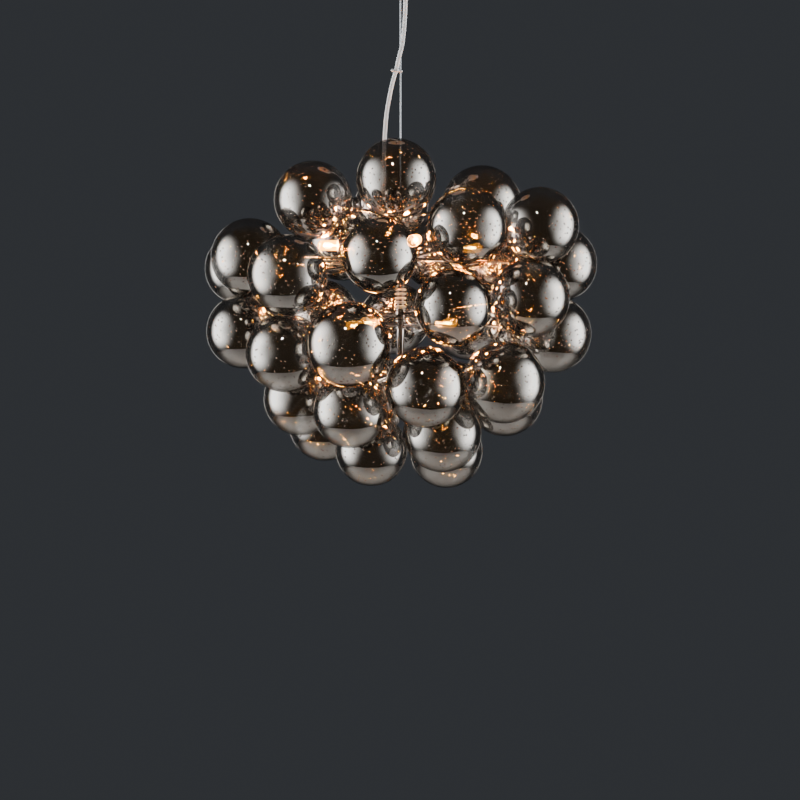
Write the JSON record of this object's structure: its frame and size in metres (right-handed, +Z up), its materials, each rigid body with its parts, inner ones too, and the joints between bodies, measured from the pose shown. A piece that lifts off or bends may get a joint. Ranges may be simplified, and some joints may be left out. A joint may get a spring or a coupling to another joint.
{
  "type": "bubble chandelier",
  "caption": "Ceiling chandelier: a round cluster of smoked glass globes on chrome crowns, with capsule lamps inside, hung on a steel wire with a white flex.",
  "frame": {"origin": "middle of the ceiling bracket's flat top face", "axes": "+Z up into the ceiling, -Y to the front, +X to the right seen from the front"},
  "size_m": [0.5041, 0.4881, 0.6794],
  "materials": {
    "smoked_glass": "hand-blown smoked glass with a thin mirrored coat, clear gloss",
    "lamp_glass": "clear capsule lamp, lit warm white",
    "chrome": "polished chrome",
    "bracket_steel": "zinc-plated sheet steel",
    "wire_steel": "stranded stainless steel wire",
    "satin_nickel": "satin nickel-plated spun steel",
    "white_flex": "off-white round flex sheath",
    "clip_plastic": "clear-white moulded clip",
    "nylon": "moulded nylon"
  },
  "bodies": {
    "root": {"ceiling_bracket": "bracket_steel", "terminal_block": "nylon"},
    "canopy": {"canopy_cup": "satin_nickel"},
    "seat": {"swivel_seat": "nylon"},
    "suspension": {"cable_gripper": "chrome", "suspension_wire": "wire_steel", "flex_cord": "white_flex", "cord_clip": "clip_plastic"},
    "plunger": {"gripper_plunger": "bracket_steel"},
    "fixture": {"stem_head": "chrome", "stem_tube": "chrome", "bottom_plug": "chrome", "crown_top": "chrome", "crown_upper": "chrome", "crown_middle": "chrome", "crown_lower": "chrome", "crown_bottom": "chrome", "globe_top_1": "smoked_glass", "globe_top_2": "smoked_glass", "globe_top_3": "smoked_glass", "globe_top_4": "smoked_glass", "globe_upper_1": "smoked_glass", "globe_upper_2": "smoked_glass", "globe_upper_3": "smoked_glass", "globe_upper_4": "smoked_glass", "globe_upper_5": "smoked_glass", "globe_upper_6": "smoked_glass", "globe_upper_7": "smoked_glass", "globe_upper_8": "smoked_glass", "globe_upper_9": "smoked_glass", "globe_upper_10": "smoked_glass", "globe_middle_1": "smoked_glass", "globe_middle_2": "smoked_glass", "globe_middle_3": "smoked_glass", "globe_middle_4": "smoked_glass", "globe_middle_5": "smoked_glass", "globe_middle_6": "smoked_glass", "globe_middle_7": "smoked_glass", "globe_middle_8": "smoked_glass", "globe_middle_9": "smoked_glass", "globe_middle_10": "smoked_glass", "globe_lower_1": "smoked_glass", "globe_lower_2": "smoked_glass", "globe_lower_3": "smoked_glass", "globe_lower_4": "smoked_glass", "globe_lower_5": "smoked_glass", "globe_lower_6": "smoked_glass", "globe_lower_7": "smoked_glass", "globe_bottom_1": "smoked_glass", "globe_bottom_2": "smoked_glass", "globe_bottom_3": "smoked_glass", "globe_bottom_4": "smoked_glass"},
    "lamp_upper_1": {"lamp_upper_1": "lamp_glass"},
    "lamp_upper_2": {"lamp_upper_2": "lamp_glass"},
    "lamp_upper_3": {"lamp_upper_3": "lamp_glass"},
    "lamp_upper_4": {"lamp_upper_4": "lamp_glass"},
    "lamp_middle_1": {"lamp_middle_1": "lamp_glass"},
    "lamp_middle_2": {"lamp_middle_2": "lamp_glass"},
    "lamp_middle_3": {"lamp_middle_3": "lamp_glass"},
    "lamp_middle_4": {"lamp_middle_4": "lamp_glass"}
  },
  "joints": [
    {"name": "canopy_slide", "type": "slide", "parent": "root", "child": "canopy", "axis": [0, 0, -1], "range_m": [0, 0.025]},
    {"name": "swing_side", "type": "hinge", "parent": "seat", "child": "suspension", "pos_m": [0, 0, -0.022], "axis": [0, 1, 0], "range_deg": [-6, 6]},
    {"name": "swing_front", "type": "hinge", "parent": "root", "child": "seat", "pos_m": [0, 0, -0.022], "axis": [1, 0, 0], "range_deg": [-6, 6]},
    {"name": "plunger_press", "type": "slide", "parent": "suspension", "child": "plunger", "axis": [0, 0, 1], "range_m": [0, 0.002], "stiffness_N_per_m": 800, "springref_m": -0.002},
    {"name": "fixture_twist", "type": "hinge", "parent": "suspension", "child": "fixture", "pos_m": [0, 0, -0.3214], "axis": [0, 0, 1], "range_deg": [-20, 20]},
    {"name": "lamp_upper_1_pull", "type": "slide", "parent": "fixture", "child": "lamp_upper_1", "axis": [-0.9816, -0.1908, 0], "range_m": [0, 0.013]},
    {"name": "lamp_upper_2_pull", "type": "slide", "parent": "fixture", "child": "lamp_upper_2", "axis": [0.1908, -0.9816, 0], "range_m": [0, 0.013]},
    {"name": "lamp_upper_3_pull", "type": "slide", "parent": "fixture", "child": "lamp_upper_3", "axis": [0.9816, 0.1908, 0], "range_m": [0, 0.013]},
    {"name": "lamp_upper_4_pull", "type": "slide", "parent": "fixture", "child": "lamp_upper_4", "axis": [-0.1908, 0.9816, 0], "range_m": [0, 0.013]},
    {"name": "lamp_middle_1_pull", "type": "slide", "parent": "fixture", "child": "lamp_middle_1", "axis": [-0.5592, -0.829, 0], "range_m": [0, 0.013]},
    {"name": "lamp_middle_2_pull", "type": "slide", "parent": "fixture", "child": "lamp_middle_2", "axis": [0.829, -0.5592, 0], "range_m": [0, 0.013]},
    {"name": "lamp_middle_3_pull", "type": "slide", "parent": "fixture", "child": "lamp_middle_3", "axis": [0.5592, 0.829, 0], "range_m": [0, 0.013]},
    {"name": "lamp_middle_4_pull", "type": "slide", "parent": "fixture", "child": "lamp_middle_4", "axis": [-0.829, 0.5592, 0], "range_m": [0, 0.013]}
  ]
}
